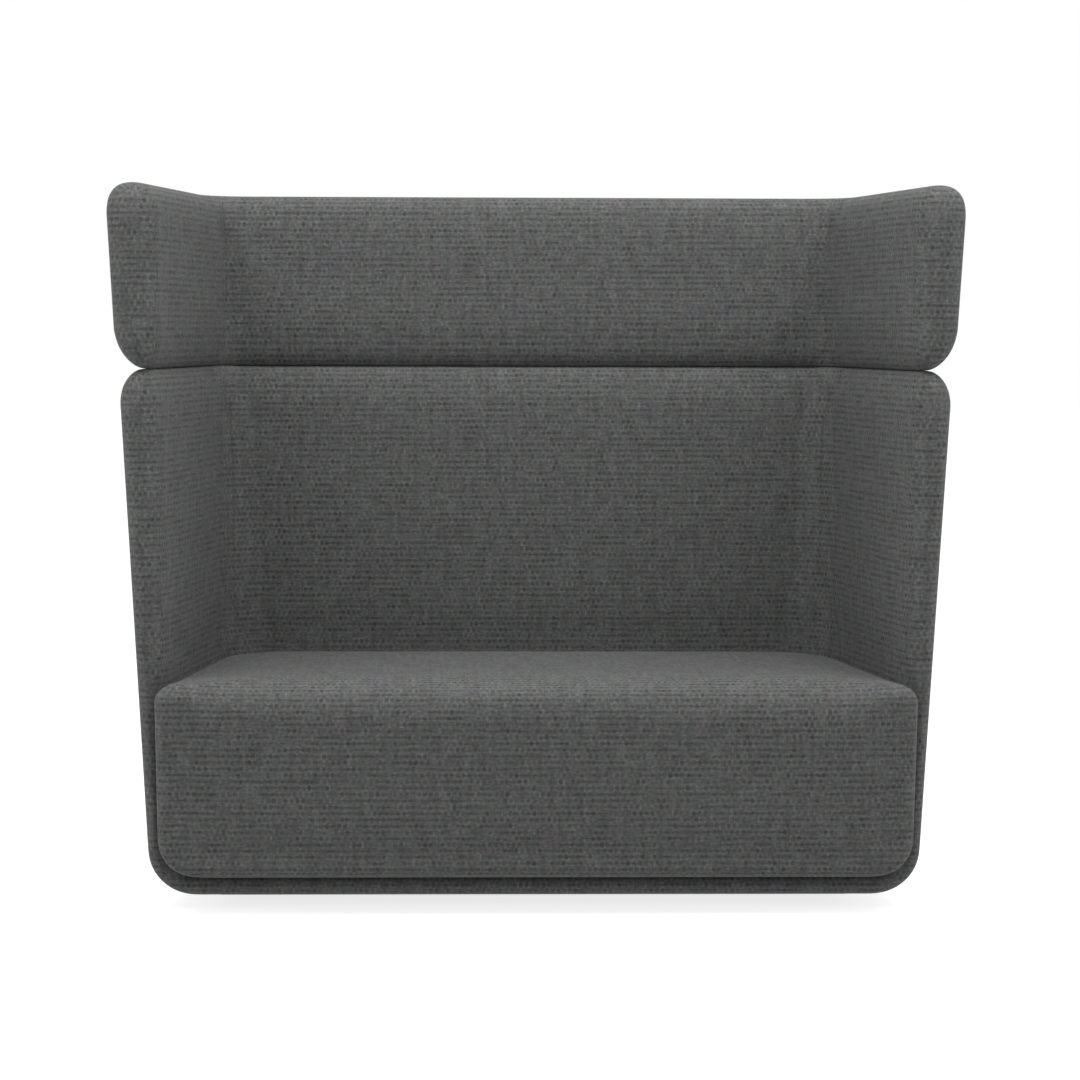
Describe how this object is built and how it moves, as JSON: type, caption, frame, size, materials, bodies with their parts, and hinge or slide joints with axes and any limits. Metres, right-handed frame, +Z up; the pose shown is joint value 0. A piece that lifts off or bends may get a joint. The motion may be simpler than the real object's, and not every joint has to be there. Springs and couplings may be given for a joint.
{
  "type": "high-back sofa",
  "caption": "High-back upholstered sofa with a leaning U-shaped shell, a block seat and a separate lift-off headrest section stacked on the back and arms.",
  "frame": {"origin": "on the floor, at the centre of the overall box", "axes": "+X to the right as seen from the front, +Y towards the back, +Z up; the seat faces -Y"},
  "size_m": [1.5776, 0.7066, 1.3426],
  "materials": {
    "cover_fabric": "dark grey woven upholstery",
    "lining": "black spun lining",
    "foam": "upholstery foam",
    "webbing": "elastic webbing",
    "plywood": "raw plywood",
    "timber": "planed timber",
    "steel": "zinc-plated steel",
    "nylon": "black nylon"
  },
  "bodies": {
    "sofa": {"back_core": "plywood", "back_padding": "foam", "base_panel": "plywood", "dust_cover": "lining", "front_border_cover": "cover_fabric", "front_left_bolt": "steel", "front_left_insert": "steel", "front_rail": "timber", "front_right_bolt": "steel", "front_right_insert": "steel", "left_arm_core": "plywood", "left_arm_padding": "foam", "left_base_rail": "timber", "left_corner_block": "timber", "left_corner_core": "plywood", "left_corner_padding": "foam", "left_sleeve": "steel", "rear_base_rail": "timber", "rear_left_bolt": "steel", "rear_left_insert": "steel", "rear_right_bolt": "steel", "rear_right_insert": "steel", "right_arm_core": "plywood", "right_arm_padding": "foam", "right_base_rail": "timber", "right_corner_block": "timber", "right_corner_core": "plywood", "right_corner_padding": "foam", "right_sleeve": "steel", "seat_centre_rail": "timber", "seat_cover": "cover_fabric", "seat_front_rail": "timber", "seat_left_rail": "timber", "seat_padding": "foam", "seat_rear_rail": "timber", "seat_right_rail": "timber", "shell_cover": "cover_fabric", "webbing_strap_1": "webbing", "webbing_strap_2": "webbing", "webbing_strap_3": "webbing", "webbing_strap_4": "webbing", "webbing_strap_5": "webbing", "webbing_strap_6": "webbing"},
    "headrest": {"headrest_back_core": "plywood", "headrest_back_padding": "foam", "headrest_cover": "cover_fabric", "headrest_left_wing_core": "plywood", "headrest_left_wing_padding": "foam", "headrest_right_wing_core": "plywood", "headrest_right_wing_padding": "foam", "left_post": "steel", "right_post": "steel"},
    "front_left_glide": {"front_left_glide": "nylon"},
    "front_right_glide": {"front_right_glide": "nylon"},
    "rear_left_glide": {"rear_left_glide": "nylon"},
    "rear_right_glide": {"rear_right_glide": "nylon"}
  },
  "joints": [
    {"name": "headrest_lift", "type": "slide", "parent": "sofa", "child": "headrest", "axis": [0, 0.0661, 0.9978], "range_m": [0, 0.12]},
    {"name": "front_left_glide_screw", "type": "slide", "parent": "sofa", "child": "front_left_glide", "axis": [0, 0, -1], "range_m": [0, 0.012]},
    {"name": "front_right_glide_screw", "type": "slide", "parent": "sofa", "child": "front_right_glide", "axis": [0, 0, -1], "range_m": [0, 0.012]},
    {"name": "rear_left_glide_screw", "type": "slide", "parent": "sofa", "child": "rear_left_glide", "axis": [0, 0, -1], "range_m": [0, 0.012]},
    {"name": "rear_right_glide_screw", "type": "slide", "parent": "sofa", "child": "rear_right_glide", "axis": [0, 0, -1], "range_m": [0, 0.012]}
  ]
}
